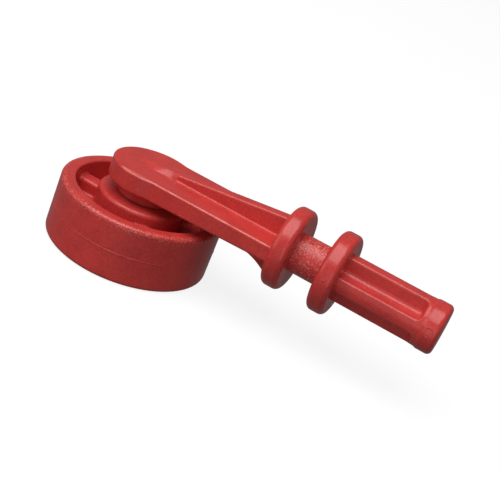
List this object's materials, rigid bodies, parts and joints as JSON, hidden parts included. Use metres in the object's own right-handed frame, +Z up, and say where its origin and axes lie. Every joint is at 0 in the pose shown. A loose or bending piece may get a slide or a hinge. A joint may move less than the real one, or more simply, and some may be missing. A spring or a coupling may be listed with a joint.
{
  "type": "clothespin roller arm",
  "caption": "Moulded plastic roller arm: a free turning spoked wheel under a round ended plate, with a flanged journal and a cross ribbed plug tail on one stem.",
  "frame": {"origin": "middle of the wheel's underside, on the axis that the wheel turns about", "axes": "+Z up the wheel's axis, +X along the stem from the wheel to the plug, Y across the stem"},
  "size_m": [0.0813, 0.034, 0.0256],
  "materials": {
    "red_plastic": "satin, fine spark eroded grain",
    "zinc_steel": "bright zinc plate"
  },
  "bodies": {
    "arm": {"swing_arm": "red_plastic", "retaining_washer": "zinc_steel", "retaining_screw": "zinc_steel"},
    "wheel": {"roller_wheel": "red_plastic"}
  },
  "joints": [
    {"name": "wheel_spin", "type": "hinge", "parent": "arm", "child": "wheel", "pos_m": [0, 0, 0.00613], "axis": [0, 0, 1], "continuous": true}
  ]
}
